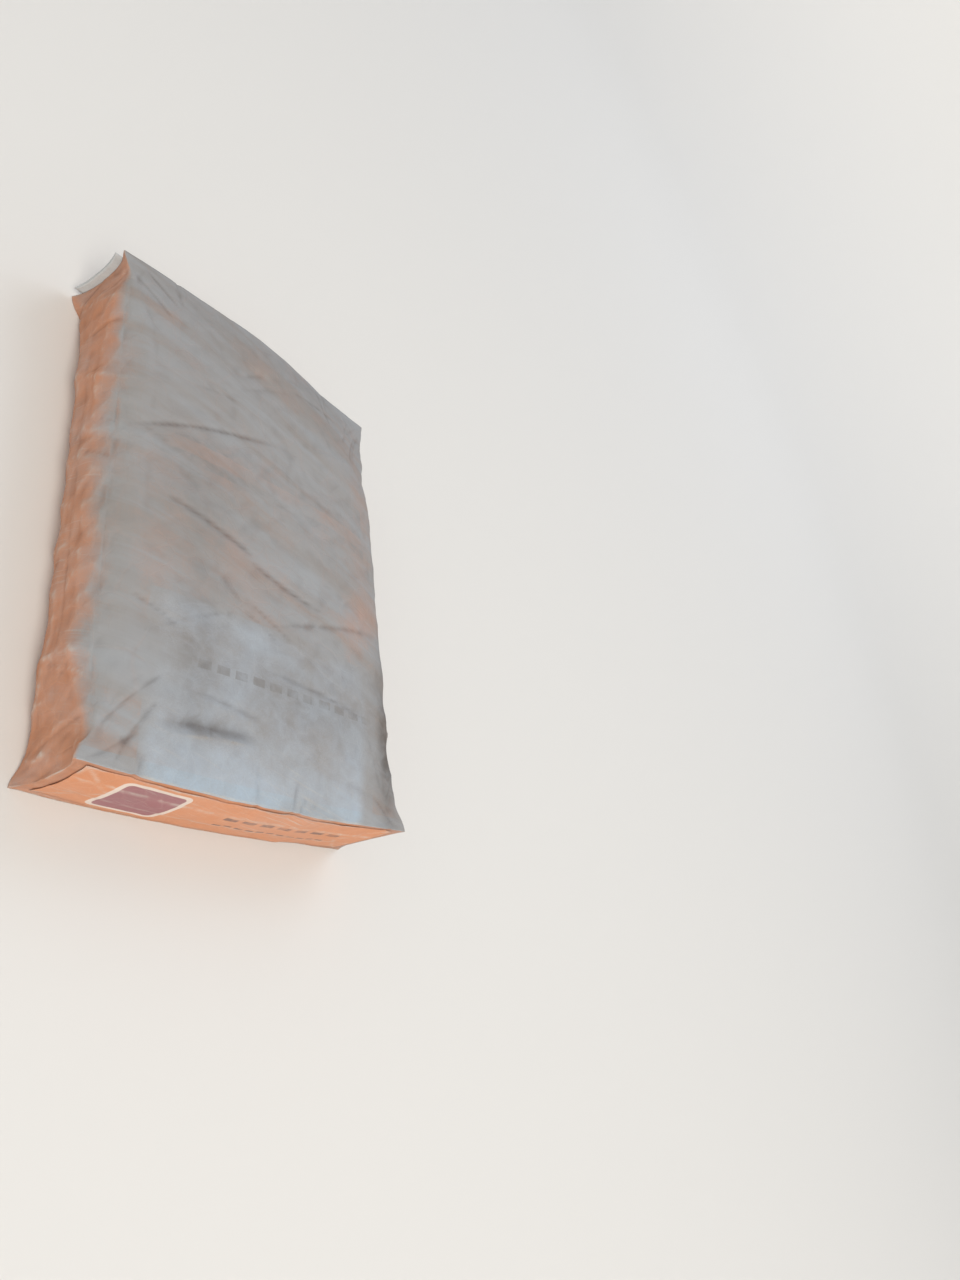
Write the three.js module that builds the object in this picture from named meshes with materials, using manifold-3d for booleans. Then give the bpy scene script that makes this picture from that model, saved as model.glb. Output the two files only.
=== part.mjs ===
// A bag of gypsum plaster: a filled block-bottom paper sack that lies on its large face.
// Millimetres, +Z up. X runs across the sack, Y along it, and the underside is at Z = 0.
// The valve, through which the sack was filled, is in the -X corner of the +Y end.

import * as THREE from 'three';
import { mergeVertices } from 'three/addons/utils/BufferGeometryUtils.js';
import Module from 'manifold-3d';

// Driving sizes of the filled sack
const SACK_WIDTH = 410;          // across the rounded long sides, at mid length
const END_WIDTH = 398;           // across an end face, without the ears
const SACK_LENGTH = 602;         // from the rim of one end face to the rim of the other, at the corners
const RIM_HEIGHT = 104;          // height of an end face
const CROWN_RISE = 20;           // how far the large face swells above the rims
const RIM_BOW = 6;               // how far the rim of an end face bows outward at its middle
const END_SWELL = 4;             // how far an end face swells outward past its rim
const SIDE_RADIUS = 36;          // rounding of the long sides at mid length
const RIM_RADIUS = 4;            // rounding of the upright corners of an end face
const EAR_REACH = 10;            // how far the folded corners stick out past an end face
const EAR_SPREAD = 0.14;         // share of the half width and half length that an ear takes
const EAR_POWER = 3;             // how fast an ear narrows towards mid height
const SHOULDER = 0.4;            // share of the half length over which the section rounds off
const CROWN_POWER = { across: 3, along: 4 };
const END_FADE = 10;             // how fast the shape of the ends fades away from them

// Grid of the sack
const CELLS = { across: 28, along: 40, up: 10 };

// Glued paper on the ends
const PAPER_THICKNESS = 1;
const PAPER_GAP = 0.3;
const PATCH = { width: 376, height: 88, cellsAcross: 28, cellsUp: 8 };
const SLEEVE = { length: 96, height: 80, lip: 9, cells: 8 };

/** Share of the way from the middle (0) to the edge (1), as a dome that is 1 at the middle. */
function dome(share) {
  return 1 - THREE.MathUtils.clamp(share, -1, 1) ** 2;
}

/** How far an end face at (x, z) stands out past the corners of its rim. */
function endReach(x, z) {
  const across = dome(x / (END_WIDTH / 2));
  const up = dome(z / (RIM_HEIGHT / 2) - 1);
  return across * (RIM_BOW + END_SWELL * up);
}

/** Moves a point of the box section onto the same section with rounded corners. */
function roundSection(point, halfWidth, halfHeight, radius) {
  const centre = new THREE.Vector2(
    THREE.MathUtils.clamp(point.x, radius - halfWidth, halfWidth - radius),
    THREE.MathUtils.clamp(point.y, radius - halfHeight, halfHeight - radius),
  );
  return centre.clone().add(point.clone().sub(centre).setLength(radius));
}

/** Place on the filled sack of the point (a, b, c) of the cube that runs from -1 to 1. */
function sackPoint(a, b, c) {
  const shoulder = THREE.MathUtils.smoothstep(1 - Math.abs(b), 0, SHOULDER);
  const halfWidth = THREE.MathUtils.lerp(END_WIDTH, SACK_WIDTH, shoulder) / 2;
  const halfHeight = RIM_HEIGHT / 2;
  const radius = THREE.MathUtils.lerp(RIM_RADIUS, SIDE_RADIUS, shoulder);
  const section = new THREE.Vector2(a * halfWidth, c * halfHeight);
  if (Math.max(Math.abs(a), Math.abs(c)) === 1) {
    section.copy(roundSection(section, halfWidth, halfHeight, radius));
  }

  const height = section.y + halfHeight;
  const crown = CROWN_RISE * (1 - Math.abs(a) ** CROWN_POWER.across) * (1 - Math.abs(b) ** CROWN_POWER.along);
  const z = height + crown * (height / RIM_HEIGHT);

  const corner = 1 - EAR_SPREAD;
  const ear = EAR_REACH * Math.abs(c) ** EAR_POWER
    * THREE.MathUtils.smoothstep(Math.abs(a), corner, 1) * THREE.MathUtils.smoothstep(Math.abs(b), corner, 1);
  const x = section.x + Math.sign(a) * ear;

  const y = b * (SACK_LENGTH / 2) + Math.sign(b) * Math.abs(b) ** END_FADE * endReach(x, height);
  return new THREE.Vector3(x, y, z);
}

/** Moves every vertex of a geometry to where place puts it, and welds the faces to one shell. */
function reshape(geometry, place) {
  const position = geometry.getAttribute('position');
  for (let i = 0; i < position.count; i += 1) {
    const moved = place(position.getX(i), position.getY(i), position.getZ(i));
    position.setXYZ(i, moved.x, moved.y, moved.z);
  }
  geometry.deleteAttribute('normal');
  geometry.deleteAttribute('uv');
  return mergeVertices(geometry);
}

/** The sack with its fill, before the pocket for the valve sleeve is cut. */
function sackGeometry() {
  return reshape(new THREE.BoxGeometry(2, 2, 2, CELLS.across, CELLS.along, CELLS.up), sackPoint);
}

/** A sheet that follows an end face. side is -1 or 1, and sheet.offset is from the face to its middle. */
function endSheetGeometry(side, sheet) {
  const width = sheet.right - sheet.left;
  const box = new THREE.BoxGeometry(width, sheet.thickness, sheet.height, sheet.cellsAcross, 1, sheet.cellsUp);
  return reshape(box, (boxX, boxY, boxZ) => {
    const x = boxX + (sheet.left + sheet.right) / 2;
    const z = boxZ + RIM_HEIGHT / 2;
    const y = side * (SACK_LENGTH / 2 + endReach(x, z) + sheet.offset) + boxY;
    return new THREE.Vector3(x, y, z);
  });
}

/** The patch glued over an end face. */
function patchGeometry(side) {
  return endSheetGeometry(side, {
    left: -PATCH.width / 2,
    right: PATCH.width / 2,
    height: PATCH.height,
    thickness: PAPER_THICKNESS,
    offset: PAPER_GAP + PAPER_THICKNESS / 2,
    cellsAcross: PATCH.cellsAcross,
    cellsUp: PATCH.cellsUp,
  });
}

/** The flat valve sleeve, sunk into the end face. With room above 0 it is the pocket around the sleeve. */
function sleeveGeometry(room) {
  return endSheetGeometry(1, {
    left: -END_WIDTH / 2 - SLEEVE.lip - room,
    right: -END_WIDTH / 2 + SLEEVE.length + room,
    height: SLEEVE.height + 2 * room,
    thickness: PAPER_THICKNESS + 2 * room,
    offset: -PAPER_THICKNESS / 2,
    cellsAcross: SLEEVE.cells,
    cellsUp: SLEEVE.cells,
  });
}

/** Cuts one closed geometry out of another. */
function subtract(wasm, geometry, cutter) {
  const toSolid = (shape) => new wasm.Manifold(new wasm.Mesh({
    numProp: 3,
    vertProperties: new Float32Array(shape.getAttribute('position').array),
    triVerts: new Uint32Array(shape.getIndex().array),
  }));
  const mesh = toSolid(geometry).subtract(toSolid(cutter)).getMesh();
  const cut = new THREE.BufferGeometry();
  cut.setAttribute('position', new THREE.BufferAttribute(mesh.vertProperties, 3));
  cut.setIndex(new THREE.BufferAttribute(mesh.triVerts, 1));
  return cut;
}

/** A named mesh with the matte finish of paper. */
function paperMesh(name, geometry, color, roughness) {
  geometry.computeVertexNormals();
  const mesh = new THREE.Mesh(geometry, new THREE.MeshStandardMaterial({ color, roughness, metalness: 0 }));
  mesh.name = name;
  return mesh;
}

const wasm = await Module();
wasm.setup();

const dustyPaper = 0x9a9288;
const orangePaper = 0xe29b69;
const barePaper = 0xc9ced2;

const group = new THREE.Group();
const sack = subtract(wasm, sackGeometry(), sleeveGeometry(PAPER_GAP));
group.add(paperMesh('filled_sack', sack, dustyPaper, 0.95));
group.add(paperMesh('near_end_patch', patchGeometry(-1), orangePaper, 0.9));
group.add(paperMesh('valve_end_patch', patchGeometry(1), orangePaper, 0.9));
group.add(paperMesh('valve_sleeve', sleeveGeometry(0), barePaper, 0.9));

export default group;
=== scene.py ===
"""A filled block-bottom paper sack of gypsum plaster, dusty and creased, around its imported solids.

The sack is one sheet of printed paper around its powder. Its form is worked out with numpy on a
grid over a cube, a cloth simulation buckles the paper on the powder, and named folds are pressed
into it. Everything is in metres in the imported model's frame: X across the sack, Y along it, Z up.
"""

import itertools
import logging
import math
from collections.abc import Callable, Mapping
from dataclasses import dataclass, replace
from enum import Enum
from functools import partial

import bpy
import numpy as np
from mathutils import Matrix, Vector


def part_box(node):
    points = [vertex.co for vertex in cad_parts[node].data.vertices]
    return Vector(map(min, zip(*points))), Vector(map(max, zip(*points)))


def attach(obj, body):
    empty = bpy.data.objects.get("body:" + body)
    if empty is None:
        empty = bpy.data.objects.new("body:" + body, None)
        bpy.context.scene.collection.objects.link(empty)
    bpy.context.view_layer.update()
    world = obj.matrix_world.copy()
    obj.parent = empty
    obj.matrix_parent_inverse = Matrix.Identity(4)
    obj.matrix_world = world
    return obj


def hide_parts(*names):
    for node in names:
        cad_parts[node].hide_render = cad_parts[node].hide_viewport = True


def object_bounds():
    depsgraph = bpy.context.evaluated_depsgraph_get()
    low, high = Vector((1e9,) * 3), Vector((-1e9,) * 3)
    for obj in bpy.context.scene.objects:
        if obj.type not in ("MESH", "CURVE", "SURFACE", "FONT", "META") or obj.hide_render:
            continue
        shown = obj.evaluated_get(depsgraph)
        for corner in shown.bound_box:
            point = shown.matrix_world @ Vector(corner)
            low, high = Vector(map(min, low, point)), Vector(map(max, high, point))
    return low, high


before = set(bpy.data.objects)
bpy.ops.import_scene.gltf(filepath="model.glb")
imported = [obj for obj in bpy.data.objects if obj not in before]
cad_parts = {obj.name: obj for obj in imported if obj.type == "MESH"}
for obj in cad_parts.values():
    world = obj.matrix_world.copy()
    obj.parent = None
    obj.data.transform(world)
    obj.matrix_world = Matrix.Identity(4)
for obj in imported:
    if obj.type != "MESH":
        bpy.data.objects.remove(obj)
CAD_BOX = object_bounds()

log = logging.getLogger("plaster_sack")

MM = 0.001
SIGNS = (-1, 1)
# Nearly all values of Blender's noise lie between these.
NOISE = (0.3, 0.7)

Array = np.ndarray
Pair = tuple[float, float]
Socket = bpy.types.NodeSocket


# Helpers for whole arrays


def ease(value: Array, low: float, high: float) -> Array:
    """Return a smooth rise from 0 at low to 1 at high, 3 t squared minus 2 t cubed."""
    t = np.clip((value - low) / (high - low), 0.0, 1.0)
    return t * t * (3.0 - 2.0 * t)


def dome(share: Array) -> Array:
    """Return 1 minus the square of share, which is 1 at the middle and 0 at both edges."""
    return 1.0 - np.clip(share, -1.0, 1.0) ** 2


def turned(points: Array, degrees: float) -> Array:
    """Return points (x, y), one row each, as seen from axes that are turned by an angle."""
    cos, sin = math.cos(math.radians(degrees)), math.sin(math.radians(degrees))
    return points @ np.array([[cos, -sin], [sin, cos]])


def spline_rows(knots: int, places: Array) -> Array:
    """Weigh the knots of a line for places between them.

    A cubic passes through each knot with the slope of the line between its two neighbours. The
    missing knot past an end is twice the end less its neighbour.

    Args:
        knots: Number of knots.
        places: Wanted places, as knot numbers.

    Returns:
        One row of weights for each place, one column for each knot.
    """
    first = np.clip(np.floor(places).astype(int), 0, knots - 2)
    t = places - first
    weights = np.stack([
        -(t**3) + 2 * t**2 - t,
        3 * t**3 - 5 * t**2 + 2,
        -3 * t**3 + 4 * t**2 + t,
        t**3 - t**2,
    ], 1) / 2
    wide = np.zeros((len(places), knots + 2))
    rows = np.arange(len(places))
    for step in range(4):
        wide[rows, first + step] += weights[:, step]
    wide[:, 1] += 2 * wide[:, 0]
    wide[:, 2] -= wide[:, 0]
    wide[:, -2] += 2 * wide[:, -1]
    wide[:, -3] -= wide[:, -1]
    return wide[:, 1:-1]


def trimmed(lines: Array, low: float, high: float) -> Array:
    """Return the grid lines between low and high, with low and high themselves as the outer ones."""
    gap = 0.4 * np.diff(lines).mean()
    return np.concatenate([[low], lines[(lines > low + gap) & (lines < high - gap)], [high]])


def unit(vectors: Array) -> Array:
    """Return the vectors along the last axis scaled to length 1."""
    return vectors / np.maximum(np.linalg.norm(vectors, axis=-1, keepdims=True), 1e-12)


def grid_normals(points: Array) -> Array:
    """Return the normals of a grid of points, the cross product of its two central differences."""
    return unit(np.cross(np.gradient(points, axis=0), np.gradient(points, axis=1)))


def grid_quads(ids: Array) -> Array:
    """Return one row of four vertex numbers for each cell of a grid of them."""
    return np.stack([ids[:-1, :-1], ids[1:, :-1], ids[1:, 1:], ids[:-1, 1:]], -1).reshape(-1, 4)


# Helpers for meshes


def add_mesh(name: str, points: Array, quads: Array, corner_uv: Array | None = None) -> bpy.types.Object:
    """Make a smooth-shaded mesh object at the origin.

    Args:
        name: Its name.
        points: Vertex places, one row each.
        quads: Four vertex numbers a row, counter-clockwise from outside.
        corner_uv: UV of each corner of each quad, one row each.

    Returns:
        The object.
    """
    mesh = bpy.data.meshes.new(name)
    mesh.vertices.add(len(points))
    mesh.vertices.foreach_set("co", points.astype(np.float32).ravel())
    mesh.loops.add(quads.size)
    mesh.loops.foreach_set("vertex_index", quads.astype(np.int32).ravel())
    mesh.polygons.add(len(quads))
    mesh.polygons.foreach_set("loop_start", np.arange(0, quads.size, 4, dtype=np.int32))
    mesh.update(calc_edges=True)
    mesh.shade_smooth()
    if corner_uv is not None:
        layer = mesh.uv_layers.new(name="Paper")
        layer.data.foreach_set("uv", corner_uv.astype(np.float32).ravel())
    piece = bpy.data.objects.new(name, mesh)
    bpy.context.scene.collection.objects.link(piece)
    return piece


def add_thin_sheet(
    name: str, inner: Array, outer: Array, flat: Array, tube: bool = False
) -> bpy.types.Object:
    """Close the two sides of a sheet of paper into one thin body.

    Args:
        name: Its name.
        inner: Grid of points of the side that is turned away.
        outer: Grid of points of the side that is seen, whose rows cross columns points outward.
        flat: Where each point lies on the flat sheet.
        tube: Whether the last column meets the first.

    Returns:
        The object, with its UV map.
    """
    ids = np.arange(outer[..., 0].size).reshape(outer.shape[:2])
    if tube:
        ids = np.append(ids, ids[:, :1], 1)
    back = ids + outer[..., 0].size
    rims = [(ids[0], back[0]), (ids[-1, ::-1], back[-1, ::-1])]
    if not tube:
        rims += [(ids[:, -1], back[:, -1]), (ids[::-1, 0], back[::-1, 0])]
    grids = [ids, back.T, *(np.stack(pair, 1) for pair in rims)]
    quads = np.concatenate([grid_quads(grid) for grid in grids])
    points = np.concatenate([outer.reshape(-1, 3), inner.reshape(-1, 3)])
    corner_uv = np.tile(flat.reshape(-1, 2), (2, 1))[quads].reshape(-1, 2)
    return add_mesh(name, points, quads, corner_uv)


def vertex_normals(piece: bpy.types.Object) -> Array:
    """Read the vertex normals of a mesh object.

    Args:
        piece: The object.

    Returns:
        The normals, one row each.
    """
    normals = np.zeros(len(piece.data.vertices) * 3, np.float32)
    piece.data.vertex_normals.foreach_get("vector", normals)
    return normals.reshape(-1, 3).astype(float)


def move_vertices(piece: bpy.types.Object, points: Array) -> None:
    """Put the vertices of a mesh object at new places."""
    piece.data.vertices.foreach_set("co", points.astype(np.float32).ravel())
    piece.data.update()


def set_attribute(piece: bpy.types.Object, name: str, values: Array) -> None:
    """Store one number for each vertex, for a material to read."""
    attribute = piece.data.attributes.new(name, "FLOAT", "POINT")
    attribute.data.foreach_set("value", values.astype(np.float32))


def smoothed(piece: bpy.types.Object, values: Array, rounds: int) -> Array:
    """Replace each vertex's values by its neighbours' mean, a number of times.

    Args:
        piece: The mesh.
        values: One row for each vertex.
        rounds: How many times.

    Returns:
        The smoothed values.
    """
    count = len(values)
    ends = np.zeros(len(piece.data.edges) * 2, np.int32)
    piece.data.edges.foreach_get("vertices", ends)
    left, right = ends.reshape(-1, 2).T
    share = 1.0 / np.bincount(ends, minlength=count)
    for _ in range(rounds):
        values = np.stack([
            share * (np.bincount(left, column[right], count) + np.bincount(right, column[left], count))
            for column in values.T
        ], 1)
    return values


# Finishes


def linear(colour: str) -> tuple[float, float, float, float]:
    """Turn an sRGB hex colour into the linear RGBA that Blender's sockets take."""
    levels = [int(colour[place : place + 2], 16) / 255 for place in (1, 3, 5)]
    return (*(v / 12.92 if v <= 0.04045 else ((v + 0.055) / 1.055) ** 2.4 for v in levels), 1.0)


def add_node(
    tree: bpy.types.NodeTree,
    kind: str,
    inputs: Mapping | list = (),
    output: int | str = 0,
    **settings: object,
) -> Socket:
    """Add a shader node, set it, and fill or link its inputs.

    Args:
        tree: The material's nodes.
        kind: Type of node, without its leading "ShaderNode".
        inputs: Value or socket of each input, by name or number, or as a list from the first.
        output: Which output to hand back.
        **settings: Properties of the node.

    Returns:
        The output socket.
    """
    node = tree.nodes.new("ShaderNode" + kind)
    for name, value in settings.items():
        setattr(node, name, value)
    for key, value in inputs.items() if isinstance(inputs, Mapping) else enumerate(inputs):
        if isinstance(value, Socket):
            tree.links.new(value, node.inputs[key])
        else:
            node.inputs[key].default_value = value
    return node.outputs[output] if node.outputs else None


@dataclass(frozen=True)
class Mark:
    """One printed shape, a rectangle with rounded corners on the flat sheet.

    It may be repeated to both sides around the sheet, by a number of copies at a pitch.
    """

    centre: Pair
    half: Pair
    corner: float = 0.5 * MM
    edge: float = 0.5 * MM
    copies: int = 0
    pitch: float = 1.0

    def mask(self, add: Callable, place: Socket) -> Socket:
        """Add the nodes that are 1 inside the mark and 0 outside.

        The distance to a rectangle rounded by r is the length of what is left of the offset from
        its centre, less its half sides shortened by r, less r. The offset from the nearest copy
        is what is left of it less a whole number of pitches, up to the number of copies.

        Args:
            add: add_node with its tree filled in.
            place: Socket of the place on the sheet.

        Returns:
            The mask's socket.
        """
        offset = add("VectorMath", [place, (*self.centre, 0.0)], operation="SUBTRACT")
        if self.copies:
            home, end = offset, self.copies * self.pitch
            for operation, size in (
                ("ADD", (self.pitch / 2, 0.0, 0.0)),
                ("SNAP", (self.pitch, 1.0, 1.0)),
                ("MINIMUM", (end, 0.0, 0.0)),
                ("MAXIMUM", (-end, 0.0, 0.0)),
            ):
                home = add("VectorMath", [home, size], operation=operation)
            offset = add("VectorMath", [offset, home], operation="SUBTRACT")
        offset = add("VectorMath", [offset], operation="ABSOLUTE")
        core = (self.half[0] - self.corner, self.half[1] - self.corner, 1.0)
        offset = add("VectorMath", [offset, core], operation="SUBTRACT")
        offset = add("VectorMath", [offset, (0.0, 0.0, 0.0)], operation="MAXIMUM")
        distance = add("VectorMath", [offset], "Value", operation="LENGTH")
        limits = [self.corner + self.edge, self.corner - self.edge]
        return add("MapRange", [distance, *limits, 0.0, 1.0], interpolation_type="SMOOTHSTEP")


@dataclass(frozen=True)
class Ink:
    """A printed colour, the marks that it fills, and how much of the paper it hides."""

    colour: str
    marks: tuple[Mark, ...]
    strength: float = 1.0


@dataclass(frozen=True)
class DustedPaper:
    """Sack kraft, flexo-printed matt, rubbed on its ridges and dusted with gypsum.

    Where ink is rubbed off, the fibres show pale. The dust is dead matt, so it takes colour and
    gloss away together. It is cloudy at the size of a hand, and streaked where sacks slid over
    each other. Streaks and scratches have a length and a width.
    """

    name: str
    ground: str
    inks: tuple[Ink, ...] = ()
    fibre: str = "#D9D0C3"
    shade: str = "#8C7A6E"
    # The shade colour is painted shade, multiplied into the creases.
    soil_and_shade: str = "#B1A9A2"
    # The colour below darkens by soil and by painted shade together, where its attribute says.
    dust: str = "#8F8B88"
    dust_pale: str = "#97999B"
    dust_floor: float = 0.10
    cloud: float = 110 * MM
    cockle: float = 14 * MM
    crinkle: float = 48 * MM
    # Gypsum grains measure about 0.05 mm. They are drawn coarser here, so that they show.
    grain: float = 1.3 * MM
    streak: Pair = (300 * MM, 42 * MM)
    # Real scratches are hair-thin, and drawn wider here, so that they show.
    scratch: Pair = (70 * MM, 2.2 * MM)
    streak_turn: float = -15.0
    roughness: Pair = (0.58, 0.96)
    grain_height: float = 0.05 * MM
    cockle_height: float = 0.4 * MM
    crinkle_depth: float = 0.16 * MM

    def material(self) -> bpy.types.Material:
        """Build the material.

        Returns:
            The material, which reads UV map Paper and attributes ridge, crease, dust, and the one for soil
            and painted shade.
        """
        material = bpy.data.materials.new(self.name)
        material.use_nodes = True
        material.node_tree.nodes.clear()
        PaperNodes(self, material.node_tree).finish()
        return material


class PaperNodes:
    """The shader nodes of one dusted paper, around the places, attributes and noises they share."""

    def __init__(self, paper: DustedPaper, tree: bpy.types.NodeTree) -> None:
        """Add the shared nodes.

        Args:
            paper: The finish, with its sizes and colours.
            tree: The nodes of an empty material.
        """
        add = self.add = partial(add_node, tree)
        self.paper = paper
        self.place, solid = add("UVMap", uv_map="Paper"), add("TexCoord", output="Object")
        self.ridge, self.crease, self.lying, self.soil_and_shade = (
            add("Attribute", output="Fac", attribute_name=name)
            for name in ("ridge", "crease", "dust", "soil_and_shade")
        )
        turn = {"Vector": self.place, "Angle": math.radians(-paper.streak_turn)}
        along = add("VectorRotate", turn, rotation_type="Z_AXIS")
        streak, scratch = (
            add("VectorMath", [along, (1 / long, 1 / wide, 1.0)], operation="MULTIPLY")
            for long, wide in (paper.streak, paper.scratch)
        )
        sockets = ("Vector", "Scale", "Detail", "Roughness", "Distortion")
        self.clouds, self.grain, self.cockle, self.streaks, self.scratches = (
            add("TexNoise", dict(zip(sockets, values)))
            for values in (
                (solid, 1 / paper.cloud, 5.0, 0.6, 0.0),
                (solid, 1 / paper.grain, 3.0, 0.6, 0.0),
                (solid, 1 / paper.cockle, 4.0, 0.5, 0.5),
                (streak, 1.0, 5.0, 0.6, 0.4),
                (scratch, 1.0, 2.0, 0.5, 0.8),
            )
        )
        self.lines = self.crinkles()

    def crinkles(self) -> Socket:
        """Add the finest creases, too narrow for the mesh: bent borders of cells, faded by clouds.

        Returns:
            A socket that is 1 on a line and 0 beside it.
        """
        add, cell = self.add, self.paper.crinkle
        sway = add("TexNoise", {"Vector": self.place, "Scale": 1 / cell, "Detail": 2.0}, "Color")
        bent = add("VectorMath", {0: sway, 1: (0.4 * cell,) * 3, 2: self.place}, operation="MULTIPLY_ADD")
        nets = []
        for finer, width, span in ((1.0, 0.045, (0.40, 0.55)), (2.3, 0.07, (0.62, 0.48))):
            border = add("TexVoronoi", {"Vector": bent, "Scale": finer / cell}, feature="DISTANCE_TO_EDGE")
            net = add("MapRange", [border, 0.0, width, 1.0, 0.0])
            shown = add("MapRange", [self.clouds, *span, 0.0, 1.0])
            nets.append(add("Math", [net, shown], operation="MULTIPLY"))
        return add("Math", nets, operation="MAXIMUM")

    def printed(self) -> Socket:
        """Add the ground colour, uneven as flexo ink on kraft is, and the inks on it.

        An ink of less than full strength is worn off here and there by the cockles.

        Returns:
            The printed colour's socket.
        """
        add = self.add
        uneven = add("MapRange", [self.clouds, *NOISE, 0.90, 1.08])
        colour = add("VectorMath", {0: linear(self.paper.ground)[:3], "Scale": uneven}, operation="SCALE")
        worn = add("MapRange", [self.cockle, 0.36, 0.60, 0.35, 1.0])
        for ink in self.paper.inks:
            mask, *others = (mark.mask(add, self.place) for mark in ink.marks)
            for other in others:
                mask = add("Math", [mask, other], operation="MAXIMUM")
            mask = add("Math", [mask, ink.strength], operation="MULTIPLY")
            if ink.strength < 1:
                mask = add("Math", [mask, worn], operation="MULTIPLY")
            colour = add("Mix", {0: mask, 6: colour, 7: linear(ink.colour)}, 2, data_type="RGBA")
        return colour

    def rubbed(self) -> Socket:
        """Add how much ink is rubbed off, on the ridges, the scratches and the finest creases.

        It is the larger of ridges and scratches, each uneven, plus a little on the creases.

        Returns:
            A socket from 0 to 1.
        """
        add = self.add
        uneven = add("MapRange", [self.cockle, 0.40, 0.62, 0.1, 0.8])
        ridges = add("Math", [uneven, self.ridge], operation="MULTIPLY")
        scratches = add("MapRange", [self.scratches, 0.60, 0.72, 0.0, 0.55])
        patches = add("MapRange", [self.clouds, 0.45, 0.62, 0.0, 1.0])
        scratches = add("Math", [patches, scratches], operation="MULTIPLY")
        larger = add("Math", [ridges, scratches], operation="MAXIMUM")
        return add("Math", [self.lines, 0.06, larger], operation="MULTIPLY_ADD")

    def cover(self) -> Socket:
        """Add how much of the paper the dust hides.

        It is the lying dust times an uneven share, plus a film, less what was shaken out of the
        creases. Where it is half bare, by 4 times the dust times what it lacks to 1, the clouds,
        cockles and grain make its border ragged, and the grain roughens it everywhere.

        Returns:
            The cover's socket, from 0 to 1.
        """
        add, floor = self.add, self.paper.dust_floor
        share = add("MapRange", [self.clouds, 0.25, 0.75, 0.84, 0.96])
        streaks = add("MapRange", [self.streaks, *NOISE, -0.08, 0.06])
        share = add("Math", [streaks, share], operation="ADD")
        film = add("MapRange", [self.clouds, *NOISE, 0.5 * floor, 2.0 * floor])
        lacking = add("Math", [self.lying, -4.0, 4.0], operation="MULTIPLY_ADD")
        partly = add("Math", [self.lying, lacking], operation="MULTIPLY")
        ragged = 0.0
        for pattern, reach in ((self.clouds, 0.13), (self.cockle, 0.05), (self.grain, 0.05)):
            wave = add("MapRange", [pattern, *NOISE, -reach, reach])
            ragged = add("Math", [wave, ragged], operation="ADD")
        cover = film
        for amount, share in ((self.lying, share), (self.crease, -0.06), (partly, ragged)):
            cover = add("Math", [amount, share, cover], operation="MULTIPLY_ADD")
        grains = add("MapRange", [self.grain, *NOISE, -0.04, 0.04])
        cover = add("Math", [grains, cover], operation="ADD", use_clamp=True)
        return add("Math", [self.lines, -0.03, cover], operation="MULTIPLY_ADD")

    def finish(self) -> None:
        """Lay print, rubbing, dust, painted crease shade, and soil with painted shade over each other, and
        add the fine relief.
        """
        add, paper = self.add, self.paper
        cover = self.cover()
        pale = add("MapRange", [self.streaks, 0.38, 0.68, 0.0, 1.0])
        tones = {0: pale, 6: linear(paper.dust), 7: linear(paper.dust_pale)}
        powder = add("Mix", tones, 2, data_type="RGBA")
        # Painted shade: the creases are darkened with the shade colour.
        shaded = add("Math", [self.crease, 0.6], operation="MULTIPLY")
        # Soil and painted shade, multiplied in together: painted shadow and shade from the spots, and
        # darker patches.
        uneven = add("MapRange", [self.cockle, 0.3, 0.65, 0.6, 1.1])
        soiled_and_shaded = add("Math", [uneven, self.soil_and_shade], operation="MULTIPLY")
        colour = self.printed()
        for amount, tone, blend in (
            (self.rubbed(), linear(paper.fibre), "MIX"),
            (cover, powder, "MIX"),
            (shaded, linear(paper.shade), "MULTIPLY"),
            (soiled_and_shaded, linear(paper.soil_and_shade), "MULTIPLY"),
        ):
            colour = add("Mix", {0: amount, 6: colour, 7: tone}, 2, data_type="RGBA", blend_type=blend)
        height = 0.0
        for pattern, rise in (
            (self.grain, paper.grain_height),
            (self.cockle, paper.cockle_height),
            (self.lines, -paper.crinkle_depth),
        ):
            height = add("Math", [pattern, rise, height], operation="MULTIPLY_ADD")
        shader = add("BsdfPrincipled", {
            "Base Color": colour,
            "Roughness": add("MapRange", [cover, 0.0, 0.8, *paper.roughness]),
            "Normal": add("Bump", {"Strength": 1.0, "Distance": 1.0, "Height": height}),
            "IOR": 1.45,
            "Specular IOR Level": 0.3,
        })
        add("OutputMaterial", {"Surface": shader})


# The form of the filled sack


class Face(Enum):
    """The faces of the cube that the sack is worked out on. The underside is cut at its seam."""

    UPPER = "upper"
    LEFT = "left"
    RIGHT = "right"
    UNDER_LEFT = "under_left"
    UNDER_RIGHT = "under_right"
    NEAR = "near"
    VALVE = "valve"


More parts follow.
